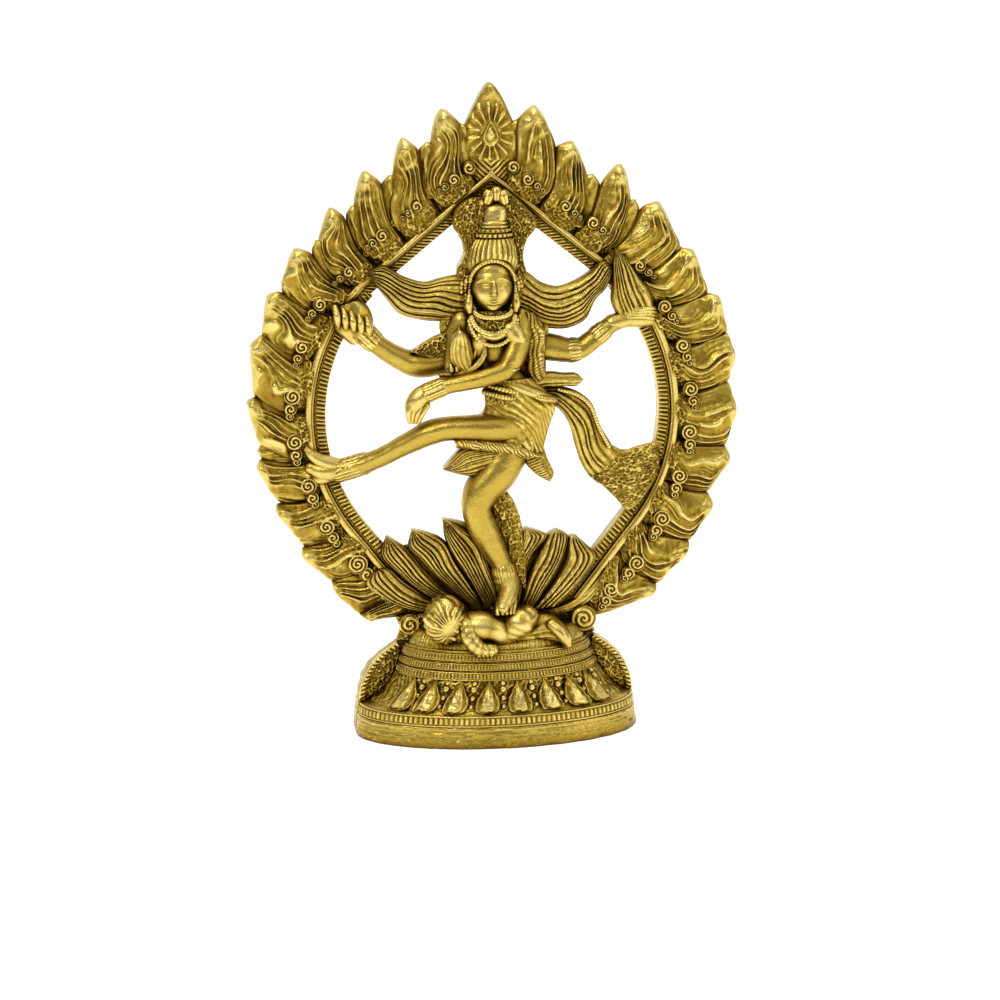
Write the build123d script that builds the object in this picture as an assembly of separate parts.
from build123d import *
from math import asin, atan2, cos, degrees, pi, radians, sin, sqrt, tan
import os

# A cast-brass dancer in an arch of flames, standing on a hollow lotus base.
# Frame: origin under the middle of the base, +Z up, the front of the figure towards -Y. Millimetres.
# Outlines are (x, z) points seen from the front; left and right are the viewer's.

# ---- driving dimensions ----
HEIGHT = 248.0
BASE_HALF_WIDTH = 54.3
BASE_BACK = 21.0
BASE_FRONT = -21.0
BASE_SPRING = 7.0          # depth where the round front of the base meets its side plates
PLINTH_HEIGHT = 8.5
DRUM_HEIGHT = 36.5
WALL = 3.5

ARCH_BACK = 12.0
ARCH_FRONT = 6.0
RAIL_FRONT = 4.6
RING_CENTRE_Z = 124.0
RING_HALF_WIDTH = 71.4     # outer edge of the rail
RING_HALF_HEIGHT = 73.0
RAIL_WIDTH = 3.9
CORD_WIDTH = 4.4
RING_RUNOUT = 51.4         # angle below level where the ring turns into straight runs
APEX_Z = 216.3             # outer edge of the gable at the middle
GABLE_ANGLE = 39.1
GABLE_BAR = 3.1
GABLE_CORD = 3.7
NECK_Z = 38.0

VOLUTE_RADIUS = 5.6
VOLUTE_DEPTH = 5.0

BALL_PROUD = 1.03          # a joint ball stands this much prouder than the cones that meet in it
SMALLEST_PIECE = 15.0      # cubic millimetres; anything less left by a cut is a sliver

parts = {}


# ---- shape helpers ----
def outline(*runs):
    """A closed face in (x, z): two points make a line, three an arc, more a smooth curve."""
    edges = []
    for run in runs:
        if len(run) == 2:
            edges.append(Line(*run))
        elif len(run) == 3:
            edges.append(ThreePointArc(*run))
        else:
            edges.append(Spline(*run))
    return make_face(edges)


def blob(*points):
    """A smooth closed face in (x, z) through the points."""
    return make_face(Spline(*points, periodic=True))


def plate(face, front, back):
    """A face seen from the front, given depth from front to back."""
    return extrude(Plane.XZ.offset(-back) * face, amount=back - front)


def limb(*stations):
    """A rounded limb: a ball at each station (x, y, z, radius) and a cone from each to the next."""
    balls = [Pos(x, y, z) * Sphere(radius * BALL_PROUD) for x, y, z, radius in stations]
    bones = []
    for start, end in zip(stations, stations[1:]):
        foot, head = Vector(*start[:3]), Vector(*end[:3])
        place = Plane(origin=foot, z_dir=head - foot)
        seat = (Align.CENTER, Align.CENTER, Align.MIN)
        if start[3] == end[3]:
            bone = Cylinder(start[3], (head - foot).length, align=seat)
        else:
            bone = Cone(start[3], end[3], (head - foot).length, align=seat)
        bones.append(place * bone)
    return balls[0].fuse(*balls[1:], *bones)


def mirrored(points):
    return [(-x, z) for x, z in points]


def half_space(side):
    """A block that holds everything on one side of the middle."""
    return Pos(side * 100, 0, 130) * Box(200, 100, 300)


# ---- the arch ----
def gable_height(x, inset):
    return APEX_Z - inset / cos(radians(GABLE_ANGLE)) - abs(x) * tan(radians(GABLE_ANGLE))


def gable_foot(inset):
    """Where the gable's straight edge meets the ring, at an inset from their outer edges."""
    wide = RING_HALF_WIDTH - inset
    tall = RING_HALF_HEIGHT - inset
    slope = tan(radians(GABLE_ANGLE))
    rise = gable_height(0, inset) - RING_CENTRE_Z
    square = tall**2 + (slope * wide) ** 2
    linear = rise * slope * wide**2
    constant = wide**2 * (rise**2 - tall**2)
    x = (linear + sqrt(linear**2 - square * constant)) / square
    return x, gable_height(x, inset)


def arch_area(inset):
    """The whole area inside the arch, from an edge set in from its outer rail."""
    wide = RING_HALF_WIDTH - inset
    tall = RING_HALF_HEIGHT - inset
    foot_x, foot_z = gable_foot(inset)
    start = degrees(asin((foot_z - RING_CENTRE_Z) / tall))
    turn = radians(RING_RUNOUT)

    def on_ring(angle):
        return wide * cos(radians(angle)), RING_CENTRE_Z + tall * sin(radians(angle))

    end = -degrees(pi / 2 - turn)
    steps = 7
    ring = [on_ring(start + (end - start) * index / steps) for index in range(steps + 1)]
    end_x, end_z = ring[-1]
    slope = tall * sin(turn) / (wide * cos(turn))
    neck_x = end_x - (end_z - NECK_Z) / slope
    apex = (0, gable_height(0, inset))
    return outline(
        [apex, ring[0]],
        ring,
        [ring[-1], (neck_x, NECK_Z)],
        [(neck_x, NECK_Z), (-neck_x, NECK_Z)],
        [(-neck_x, NECK_Z), mirrored(ring)[-1]],
        mirrored(ring)[::-1],
        [mirrored(ring)[0], apex],
    )


def below_gable():
    """The part of the arch under the line that joins the two feet of the gable."""
    foot_z = gable_foot(0)[1]
    return Pos(0, 0, foot_z - 150) * Box(400, 200, 300)


def build_arch():
    inner = RAIL_WIDTH + CORD_WIDTH
    rail = plate(arch_area(0), RAIL_FRONT, ARCH_BACK) - plate(arch_area(RAIL_WIDTH), 0, 20)
    cord = plate(arch_area(RAIL_WIDTH), ARCH_FRONT, ARCH_BACK) - plate(arch_area(inner), 0, 20)
    bar = plate(arch_area(0), RAIL_FRONT, ARCH_BACK) - plate(arch_area(GABLE_BAR), 0, 20)
    bar_cord = plate(arch_area(GABLE_BAR), ARCH_FRONT, ARCH_BACK)
    bar_cord -= plate(arch_area(GABLE_BAR + GABLE_CORD), 0, 20)
    foot_plate = Pos(0, 9, 33.5 + 9) * Box(90, 30, 18)
    for name, side in (("left", -1), ("right", 1)):
        parts[f"rail_{name}"] = (rail & below_gable() & half_space(side)) - foot_plate
        parts[f"cord_{name}"] = (cord & below_gable() & half_space(side)) - foot_plate
        parts[f"gable_{name}"] = (bar & half_space(side)) - below_gable()
        parts[f"gable_cord_{name}"] = (bar_cord & half_space(side)) - below_gable()
    parts["arch_foot"] = plate(arch_area(0), ARCH_FRONT, ARCH_BACK) & foot_plate


# Each flame: the notch on either side of it and its tip, with any small side lobe between.
FLAMES_LEFT = [
    [(-10.5, 232.5), (-18.2, 238.8), (-22.3, 225.5)],
    [(-22.3, 225.5), (-26.0, 225.0), (-33.0, 228.3), (-36.5, 214.0)],
    [(-36.5, 214.0), (-40.5, 212.4), (-47.3, 216.5), (-51.0, 203.5)],
    [(-51.0, 203.5), (-55.0, 200.2), (-60.0, 203.3), (-64.3, 190.5)],
    [(-64.3, 190.5), (-67.5, 186.2), (-73.5, 188.3), (-78.0, 175.3)],
    [(-78.0, 175.3), (-79.3, 172.4), (-84.0, 171.0), (-85.8, 156.5)],
    [(-85.8, 156.5), (-90.7, 152.5), (-89.3, 133.0)],
    [(-89.3, 133.0), (-92.7, 131.0), (-88.0, 116.0), (-88.5, 108.5)],
    [(-88.5, 108.5), (-89.7, 105.5), (-83.6, 96.0), (-82.0, 90.7)],
    [(-82.0, 90.7), (-82.8, 88.0), (-74.5, 78.3), (-72.7, 73.5)],
    [(-72.7, 73.5), (-73.6, 70.5), (-62.2, 61.0)],
    [(-62.2, 61.0), (-61.4, 56.0), (-52.0, 47.5)],
    [(-52.0, 47.5), (-48.5, 44.6), (-36.2, 45.8)],
]
FLAMES_RIGHT = [
    [(9.8, 233.2), (17.3, 239.2), (24.8, 223.6)],
    [(24.8, 223.6), (31.2, 225.6), (38.0, 212.7), (41.6, 209.8)],
    [(41.6, 209.8), (49.3, 216.7), (53.5, 203.2), (57.2, 200.5)],
    [(57.2, 200.5), (63.8, 202.0), (71.5, 184.4)],
    [(71.5, 184.4), (77.0, 183.3), (82.0, 167.0)],
    [(82.0, 167.0), (87.0, 165.3), (89.5, 151.5)],
    [(89.5, 151.5), (93.0, 143.0), (90.0, 132.5)],
    [(90.0, 132.5), (93.6, 122.0), (89.0, 107.8)],
    [(89.0, 107.8), (91.5, 102.8), (82.2, 90.0)],
    [(82.2, 90.0), (84.9, 84.5), (75.2, 71.0)],
    [(75.2, 71.0), (75.0, 66.5), (62.6, 54.4)],
    [(62.6, 54.4), (62.3, 50.5), (39.5, 45.5)],
]
# Where the lines between flames reach the rail, from the finial down to the neck.
ROOTS_LEFT = [-5.0, -20.0, -33.0, -44.0, -54.0, (-61.5, 166), (-68.5, 146), (-71.5, 127), (-70.5, 110),
              (-66.0, 96), (-58.0, 81), (-48.0, 68.5), (-40.0, 58.5), (-34.5, 50)]
ROOTS_RIGHT = [5.0, 19.0, 32.0, 43.0, 53.0, (61.0, 166), (67.5, 149), (71.5, 131.5), (70.7, 113.5),
               (66.5, 97.4), (58.0, 81), (49.0, 70), (34.5, 50)]


def root_point(root):
    """A root on the gable is given by its x alone; it lies just inside the bar's outer edge."""
    if isinstance(root, tuple):
        return root
    return root, gable_height(root, 1.0)


def flame(corners, root_before, root_after, middle):
    """One flame: a leaf from the rail to its tip, its sides bowed outwards from the middle."""
    runs = [[root_before, corners[0]]]
    for start, end in zip(corners, corners[1:]):
        bow = 0.07
        along_x, along_z = end[0] - start[0], end[1] - start[1]
        out_x, out_z = -along_z, along_x
        centre = ((start[0] + end[0]) / 2, (start[1] + end[1]) / 2)
        away = (centre[0] - middle[0]) * out_x + (centre[1] - middle[1]) * out_z
        sign = 1 if away > 0 else -1
        bulge = (centre[0] + sign * bow * out_x, centre[1] + sign * bow * out_z)
        runs.append([start, bulge, end])
    runs.append([corners[-1], root_after])
    runs.append([root_after, root_before])
    return plate(outline(*runs), ARCH_FRONT, ARCH_BACK)


def build_flames():
    rails = plate(arch_area(0), 0, 20)
    middle = (0, RING_CENTRE_Z)
    for side, flames, roots in (("left", FLAMES_LEFT, ROOTS_LEFT), ("right", FLAMES_RIGHT, ROOTS_RIGHT)):
        for index, corners in enumerate(flames):
            before, after = root_point(roots[index]), root_point(roots[index + 1])
            leaf = flame(corners, before, after, middle) - rails
            group = f"flames_{side}_{min(index // 2, 5) + 1}"
            parts[group] = parts.get(group, []) + [leaf]


def build_finial():
    leaf = outline(
        [(-6.0, 211.0), (-9.6, 221.0), (-9.8, 230.0), (-7.2, 236.5), (-2.8, 245.5), (0.3, HEIGHT)],
        [(0.3, HEIGHT), (3.4, 245.5), (7.6, 236.5), (9.9, 230.0), (9.7, 221.0), (6.0, 211.0)],
        [(6.0, 211.0), (-6.0, 211.0)],
    )
    rosette = limb((0.3, 5.2, 227.8, 1.9), (0.3, 5.2, 231.2, 1.0))
    leaf = plate(leaf, 5.0, ARCH_BACK) - plate(arch_area(0), 0, 20)
    parts["finial"] = leaf + rosette


# ---- the base ----
DRUM_SECTIONS = [           # height, half width, how far the front stands out from the side plates
    (PLINTH_HEIGHT, 52.2, 26.8),
    (12.7, 52.0, 26.6),
    (13.6, 44.0, 25.4),
    (25.5, 38.5, 22.5),
    (DRUM_HEIGHT, 35.0, 20.5),
]
SHOULDER = [
    (54.3, 0), (53.7, 9), (52.8, 17), (51.2, 22), (48.6, 27), (44.0, 31.5), (39.3, 35), (35.5, NECK_Z),
]
PETALS = 8
PETAL_STEP = 16.5           # degrees between petals
PETAL_LEAN = 15.0
PETAL_THICKNESS = 3.2
BACK_LEAN = 9.0             # how far the back of the base leans in by the neck


def drum(inset, bottom):
    """The round front of the base, or its hollow when set in by the wall."""
    sections = []
    for height, wide, deep in DRUM_SECTIONS:
        level = min(height, DRUM_HEIGHT - inset)
        sections.append(Pos(0, BASE_SPRING, level) * Ellipse(wide - inset, deep - inset))
    body = loft(sections, ruled=True)
    foot_height, foot_wide, foot_deep = DRUM_SECTIONS[0]
    skirt_face = Pos(0, BASE_SPRING, bottom) * Ellipse(foot_wide - inset, foot_deep - inset)
    body += extrude(skirt_face, amount=foot_height - bottom)
    return body & (Pos(0, BASE_SPRING - 50 + 1, 20) * Box(200, 100, 100))


def plinth(inset, bottom):
    """The plain moulding round the foot."""
    front = Pos(0, BASE_SPRING, bottom) * Ellipse(BASE_HALF_WIDTH - inset, BASE_SPRING - BASE_FRONT - inset)
    front = extrude(front, amount=PLINTH_HEIGHT - bottom)
    return front & (Pos(0, BASE_SPRING - 50 + 1, 20) * Box(200, 100, 100))


def shoulders(inset, bottom):
    """The side plates behind the drum, leaning back-to-front as they rise."""
    right = [(x - inset, max(z - inset, bottom)) for x, z in SHOULDER]
    left = mirrored(right)
    face = outline(right, [right[-1], left[-1]], left[::-1], [left[0], right[0]])
    body = plate(face, BASE_SPRING + inset, BASE_BACK - inset)
    lean = degrees(atan2(BACK_LEAN, NECK_Z))
    cutter = Pos(0, BASE_BACK - inset, 0) * Rot(lean, 0, 0) * Pos(0, 50, 0) * Box(200, 100, 200)
    return body - cutter


def build_base():
    solid = shoulders(0, 0) + drum(0, 0) + plinth(0, 0)
    hollow = shoulders(WALL, -1) + drum(WALL, -1)
    join = Pos(0, BASE_SPRING + 1, 11) * Box(2 * (BASE_HALF_WIDTH - 12), 2 * WALL + 4, 24)
    parts["base_shell"] = solid - hollow - join


def ring_band(height, wide, deep, thickness, width):
    """A raised band that follows the front of the drum at one height."""
    outer = Pos(0, BASE_SPRING, height) * Ellipse(wide + thickness, deep + thickness)
    inner = Pos(0, BASE_SPRING, height) * Ellipse(wide - 1.5, deep - 1.5)
    band = extrude(outer - inner, amount=width)
    return band & (Pos(0, BASE_SPRING - 50, 20) * Box(200, 100, 100))


def build_bands():
    parts["bead_band"] = ring_band(PLINTH_HEIGHT, 52.2, 26.8, 1.4, 4.2)
    bands = []
    for height, wide, deep in ((26.0, 38.2, 22.3), (29.6, 37.1, 21.7), (33.2, 36.0, 21.1)):
        bands.append(ring_band(height, wide, deep, 1.0, 2.9))
    parts["corded_bands"] = bands


def build_petals():
    """Eight upright petals round the flared part of the drum."""
    petal = outline(
        [(-4.4, 0.5), (-4.9, 4.2), (-2.9, 7.8), (0, 11.0)],
        [(0, 11.0), (2.9, 7.8), (4.9, 4.2), (4.4, 0.5)],
        [(4.4, 0.5), (0, -0.6), (-4.4, 0.5)],
    )
    petals = []
    height, wide, deep = DRUM_SECTIONS[2]
    for index in range(PETALS):
        angle = radians(PETAL_STEP * (index - (PETALS - 1) / 2))
        x = wide * sin(angle)
        y = BASE_SPRING - deep * cos(angle)
        turn = degrees(atan2(sin(angle) / wide, cos(angle) / deep))
        leaf = extrude(Plane.XZ * petal, amount=PETAL_THICKNESS)
        leaf = Rot(0, 0, turn) * Rot(-PETAL_LEAN, 0, 0) * Pos(0, 0.8, 0) * leaf
        petals.append(Pos(x, y, height + 0.6) * leaf)
    parts["lotus_petals"] = petals


def build_panels():
    panel = [(39.5, 15), (50.5, 15), (49.6, 22), (45.5, 27.5), (38.0, 33.5), (36.4, 26)]
    rope = [(53.2, 14), (52.4, 19), (50.6, 23.6), (46.6, 28.6), (38.6, 35)]
    rope_inner = [(36.6, 33.4), (44.8, 26.9), (48.6, 22.4), (50.2, 18), (50.8, 14)]
    rope_face = outline(rope, [rope[-1], rope_inner[0]], rope_inner, [rope_inner[-1], rope[0]])
    ropes = plate(rope_face, BASE_SPRING - 1.8, BASE_SPRING)
    parts["panel_right"] = plate(blob(*panel), BASE_SPRING - 1.0, BASE_SPRING)
    parts["panel_left"] = mirror(parts["panel_right"], about=Plane.YZ)
    parts["rope_mouldings"] = [ropes, mirror(ropes, about=Plane.YZ)]


def build_volutes():
    scroll = Cylinder(VOLUTE_RADIUS, VOLUTE_DEPTH, align=(Align.CENTER, Align.CENTER, Align.MIN))
    scroll = Pos(33.5, ARCH_FRONT, 43) * Rot(90, 0, 0) * scroll
    eye = Pos(33.5, ARCH_FRONT - VOLUTE_DEPTH, 43) * Sphere(2.2)
    right = scroll + eye
    parts["volutes"] = [right, mirror(right, about=Plane.YZ)]


# ---- the dwarf under the dancer's foot ----
def build_dwarf():
    parts["dwarf_head"] = Pos(-20.5, -7.0, 49.8) * Sphere(7.6)
    body = blob(
        (-14.5, 49), (-4, 49), (3, 46.8), (11, 43.4), (12.8, 39.6),
        (8, 36.7), (-4, 36.7), (-15, 37.6), (-18, 43),
    )
    parts["dwarf_body"] = plate(body, -12.5, 0.5)
    parts["dwarf_thigh"] = limb((2.0, -8.4, 40.4, 3.7), (5.2, -9.3, 44.0, 4.9), (8.6, -9.2, 47.2, 5.2))
    foot = outline(
        [(11, 43.5), (15, 47.2), (19.5, 47.0), (24, 43.6), (27.2, 39.0)],
        [(27.2, 39.0), (25.5, 36.6)],
        [(25.5, 36.6), (11, 36.6)],
        [(11, 36.6), (11, 43.5)],
    )
    parts["dwarf_foot"] = plate(foot, -10.5, -3.5)


# ---- foliage behind the standing leg ----
def build_foliage():
    left = outline(
        [(-2, 49), (-14, 50.5), (-30, 51), (-38, 58), (-45, 68)],
        [(-45, 68), (-43, 73), (-41.5, 78)],
        [(-41.5, 78), (-37, 77), (-33, 73)],
        [(-33, 73), (-32.5, 77), (-31.5, 80.6)],
        [(-31.5, 80.6), (-25, 79.5), (-19.5, 76)],
        [(-19.5, 76), (-20.5, 80), (-20, 84.5)],
        [(-20, 84.5), (-13, 83), (-4, 79)],
        [(-4, 79), (2, 62), (-2, 49)],
    )
    right = outline(
        [(9, 49), (4, 62), (6, 78)],
        [(6, 78), (10, 79.6), (13, 79)],
        [(13, 79), (17, 78.2), (20.3, 76)],
        [(20.3, 76), (21.5, 78.4), (24.3, 78.2)],
        [(24.3, 78.2), (27, 76.5), (28.2, 75)],
        [(28.2, 75), (30, 76), (31.5, 75.6)],
        [(31.5, 75.6), (36, 71.5), (39, 67.5)],
        [(39, 67.5), (33, 57), (25, 49.5)],
        [(25, 49.5), (9, 49)],
    )
    parts["foliage_left"] = plate(left, 2.5, 9.5)
    parts["foliage_right"] = plate(right, 2.5, 9.5)


# ---- the dancer ----
def build_legs():
    parts["standing_leg"] = limb(
        (6, 1, 113, 7.4), (0, -1, 103, 7.2), (-6.8, -2, 95, 5.8), (-7.8, -2.5, 89, 5.3),
        (-4.6, -1, 80, 5.5), (0.3, 0, 71, 4.4), (3.6, 0, 64, 3.8), (4.6, -1, 57, 3.8),
    )
    parts["standing_foot"] = limb(
        (4.8, -1.5, 60.0, 4.2), (4.0, -5, 56.2, 3.8), (2.4, -8.5, 53.4, 3.3), (0.6, -11.5, 51.6, 2.4),
    )
    parts["raised_leg"] = limb(
        (12, 1.2, 121.6, 6.9), (0, -1.5, 121.2, 6.1), (-23, -4, 120.2, 4.8),
        (-35, -1.2, 114.0, 4.1), (-51.5, 4, 105.8, 3.5),
    )
    foot = blob(
        (-54, 101), (-61, 100.6), (-68, 99.5), (-71, 104),
        (-70.5, 112), (-68, 112), (-61, 109), (-54, 109),
    )
    parts["raised_foot"] = plate(foot, 1.5, 8.5)
    anklets = []
    for x, z in ((-49.5, 106.7), (-53.0, 105.4)):
        anklets.append(Pos(x, 3.8, z) * Rot(0, 67, 0) * Cylinder(4.8, 1.6))
    for z, x in ((59.6, 4.3), (63.0, 3.8)):
        anklets.append(Pos(x, -0.5, z) * Rot(0, -8, 0) * Cylinder(5.0, 1.8))
    parts["anklets"] = anklets


def build_dress():
    skirt = outline(
        [(-4.5, 138), (-3.4, 131), (-6, 122), (-15, 119), (-15, 115.5)],
        [(-15, 115.5), (17.4, 109.5)],
        [(17.4, 109.5), (18.6, 116), (21.6, 126), (21.8, 130), (14, 138)],
        [(14, 138), (-4.5, 138)],
    )
    parts["skirt"] = plate(skirt, -6.6, 6.6)
    front_flap = outline(
        [(-20.2, 105.0), (-16.5, 109.5), (-12.5, 114.5)],
        [(-12.5, 114.5), (-2, 115.5), (8, 112)],
        [(8, 112), (2, 107), (-4.5, 103), (-10.5, 101.5), (-20.2, 105.0)],
    )
    tail_flap = outline(
        [(7.5, 110), (12.5, 104.5), (18.2, 98.6)],
        [(18.2, 98.6), (21.8, 98.0), (21.6, 102.0)],
        [(21.6, 102.0), (19.3, 107), (17.8, 113)],
        [(17.8, 113), (7.5, 110)],
    )
    knee_drape = outline(
        [(1, 97.5), (5.5, 94), (8.8, 87), (10.2, 79), (11, 68), (9, 58)],
        [(9, 58), (3, 58)],
        [(3, 58), (6, 72), (2, 86), (-2, 92)],
        [(-2, 92), (1, 97.5)],
    )
    parts["front_flap"] = plate(front_flap, -6.5, 3)
    parts["tail_flap"] = plate(tail_flap, -3.0, 4)
    parts["knee_drape"] = plate(knee_drape, -1.0, 7)
    sash = outline(
        [(17, 134.6), (24, 133.4), (31, 132), (36.5, 127.5), (41.5, 115.5), (46, 109.5)],
        [(46, 109.5), (43, 102), (40, 96)],
        [(40, 96), (35, 100), (31.8, 107), (29.2, 117), (24.5, 124.5), (17, 128)],
        [(17, 128), (17, 134.6)],
    )
    sash_end = outline(
        [(46, 109.5), (50, 108.3), (56, 110), (63, 111)],
        [(63, 111), (59, 96), (51, 84.5)],
        [(51, 84.5), (46, 89.5), (40, 96)],
        [(40, 96), (43, 102), (46, 109.5)],
    )
    parts["sash"] = plate(sash, -1.0, 6)
    parts["sash_end"] = plate(sash_end, 1.5, 9)
    scarf = outline(
        [(12, 162), (17, 159), (19, 150), (18.2, 144.5), (21, 140.8), (31, 139.8)],
        [(31, 139.8), (33.4, 137.2), (31.5, 135.2)],
        [(31.5, 135.2), (22, 134.2), (13, 137), (11, 148), (12, 162)],
    )
    parts["scarf"] = plate(scarf, -5.5, 2)


def build_torso():
    chest = limb((-7.6, 0, 155.2, 6.0), (5.6, 0, 155.2, 6.1))
    belly = limb((-1, 0, 153, 7.2), (1.2, 0, 145, 6.3), (3.4, 0, 137, 6.4))
    neck = limb((-1, 0, 156, 5.0), (-1, 0, 165, 4.2))
    parts["torso"] = chest + belly + neck
    parts["necklace"] = limb(
        (-8.2, -3.6, 163.2, 1.4), (-5.8, -6.8, 158.8, 1.5), (-1.4, -8.0, 156.6, 1.7),
        (3.2, -6.9, 158.4, 1.5), (6.2, -3.8, 162.6, 1.4),
    )


def build_arms():
    parts["drum_arm"] = limb(
        (-10, 3, 149.5, 4.4), (-20, 3, 144.6, 4.8), (-30, 3, 144.4, 4.9), (-36, 3, 147.2, 4.3),
        (-43, 3.5, 151.5, 3.8), (-49, 4.5, 156.5, 3.9),
    )
    hand = blob((-52, 153.5), (-46, 157.5), (-44.9, 162), (-46.8, 167), (-51, 169.4), (-57, 166), (-59, 160))
    parts["drum_hand"] = plate(hand, 0, 9)
    arm = limb((17, 2, 149.7, 4.8), (30.8, 3, 148.4, 4.5), (44.5, 4.2, 156.8, 3.2))
    hand = blob(
        (45.5, 154.5), (45.5, 161), (50, 163.5), (58.5, 162.5), (62.5, 159), (60.5, 155.5), (52, 154.2),
    )
    parts["flame_arm"] = [arm, plate(hand, 1.5, 8.5)]
    hand_flame = outline(
        [(46.2, 185.5), (50.5, 181.5), (55, 175), (60, 168)],
        [(60, 168), (58.5, 160)],
        [(58.5, 160), (46, 161)],
        [(46, 161), (44.6, 167), (45.2, 173), (45, 180), (46.2, 185.5)],
    )
    parts["hand_flame"] = plate(hand_flame, 1.5, 8.5)
    upper = limb((-12, 0, 160.5, 4.4), (-14.6, -1, 152, 4.9), (-15, -3.5, 144.6, 4.0))
    palm = limb(
        (-14.6, -5.5, 143.8, 3.6), (-13.0, -8.5, 147.0, 3.0), (-11.8, -9.5, 152, 3.6), (-12, -9.2, 158, 2.4),
    )
    parts["blessing_arm"] = upper + palm
    parts["crossing_arm"] = limb(
        (10.2, 0, 160.5, 4.8), (8.4, -2, 154.5, 4.9), (5.4, -4.8, 147.0, 4.3), (1.5, -7.2, 142.2, 3.8),
        (-5, -8.2, 140.2, 3.5), (-14, -8.2, 138.0, 3.1), (-22, -7.6, 136.4, 2.8), (-28, -7.2, 134.0, 3.6),
        (-31.6, -6.6, 129.6, 3.3), (-31.6, -6, 125.2, 2.0),
    )


def build_head():
    parts["head"] = limb((-1, -1.5, 170.2, 5.8), (-0.8, -1.2, 176.0, 7.8))
    headdress = limb(
        (-0.3, -0.2, 183.0, 8.0), (0.2, 0.4, 189.5, 6.8), (0.7, 1, 195, 5.0),
        (1.2, 2, 202, 4.6), (1.8, 2.4, 206.2, 4.4),
    )
    left_fan = outline(
        [(-9, 206), (-13.6, 202), (-14.6, 196), (-11.4, 189.5), (-11.0, 184), (-13.4, 180), (-13.0, 168)],
        [(-13.0, 168), (-6, 168)],
        [(-6, 168), (-3, 190), (-3, 208)],
        [(-3, 208), (-9, 206)],
    )
    right_fan = outline(
        [(5, 209), (10.5, 204), (16.8, 195.4), (12.6, 189.5), (11.3, 184), (12.4, 178.6), (11.5, 168)],
        [(11.5, 168), (5, 168)],
        [(5, 168), (5, 209)],
    )
    parts["headdress"] = [headdress, plate(left_fan, 2, 9), plate(right_fan, 2, 9)]


def build_hair():
    left = outline(
        [(-8, 178), (-14, 177.6), (-20, 176.3), (-25, 175.2), (-33, 177.4), (-40, 181.8)],
        [(-40, 181.8), (-46.5, 176.5)],
        [(-46.5, 176.5), (-40.5, 170), (-35.5, 163.8), (-28, 161.2), (-19, 160.2), (-8, 161)],
        [(-8, 161), (-8, 178)],
    )
    right = outline(
        [(8, 179), (12, 178.4), (18, 174), (24, 172.2), (30, 173.8), (36.5, 177.2), (40, 181)],
        [(40, 181), (47, 174.5)],
        [(47, 174.5), (42.5, 170.6), (38.4, 166), (35, 159.2), (27, 156), (14, 157.5), (8, 160)],
        [(8, 160), (8, 179)],
    )
    parts["hair_left"] = plate(left, 0.5, 7.5)
    parts["hair_right"] = plate(right, 0.5, 7.5)


# ---- joining ----
# Earlier names keep their whole shape; later ones are cut back to meet them face to face.
ORDER = [
    "base_shell", "rail_left", "rail_right", "gable_left", "gable_right", "cord_left", "cord_right",
    "gable_cord_left", "gable_cord_right", "finial", "torso", "head", "standing_leg", "raised_leg",
    "skirt", "headdress", "crossing_arm", "blessing_arm", "drum_arm", "flame_arm", "raised_foot",
    "standing_foot", "anklets", "drum_hand", "hand_flame", "scarf", "necklace", "front_flap", "tail_flap",
    "sash", "sash_end", "dwarf_head", "dwarf_thigh", "dwarf_body", "dwarf_foot", "knee_drape",
    "hair_left", "hair_right", "foliage_left", "foliage_right", "volutes", "arch_foot", "rope_mouldings",
    "panel_left", "panel_right", "bead_band", "corded_bands", "lotus_petals",
]


def solids_of(shape):
    pieces = shape if isinstance(shape, list) else [shape]
    return [solid for piece in pieces for solid in piece.solids()]


def boxes_meet(first, second):
    a, b = first.bounding_box(), second.bounding_box()
    return (a.min.X < b.max.X and b.min.X < a.max.X and a.min.Y < b.max.Y and b.min.Y < a.max.Y
            and a.min.Z < b.max.Z and b.min.Z < a.max.Z)


def fit_together():
    """Cut each node back to the ones before it, so that no two pieces share space."""
    flames = sorted(name for name in parts if name.startswith("flames_"))
    placed = []
    fitted = {}
    for name in ORDER[:10] + flames + ORDER[10:]:
        kept = []
        for solid in solids_of(parts[name]):
            pieces = [solid]
            for other in placed + kept:
                cut = []
                for piece in pieces:
                    cut += solids_of(piece - other) if boxes_meet(piece, other) else [piece]
                pieces = cut
            kept += [piece for piece in pieces if piece.volume > SMALLEST_PIECE]
        placed += kept
        fitted[name] = Compound(children=kept) if len(kept) > 1 else kept[0]
    return fitted


build_arch()
build_flames()
build_finial()
build_base()
build_bands()
build_petals()
build_panels()
build_volutes()
build_dwarf()
build_foliage()
build_legs()
build_dress()
build_torso()
build_arms()
build_head()
build_hair()

os.makedirs("parts", exist_ok=True)
for name, shape in fit_together().items():
    export_step(shape, f"parts/{name}.step")
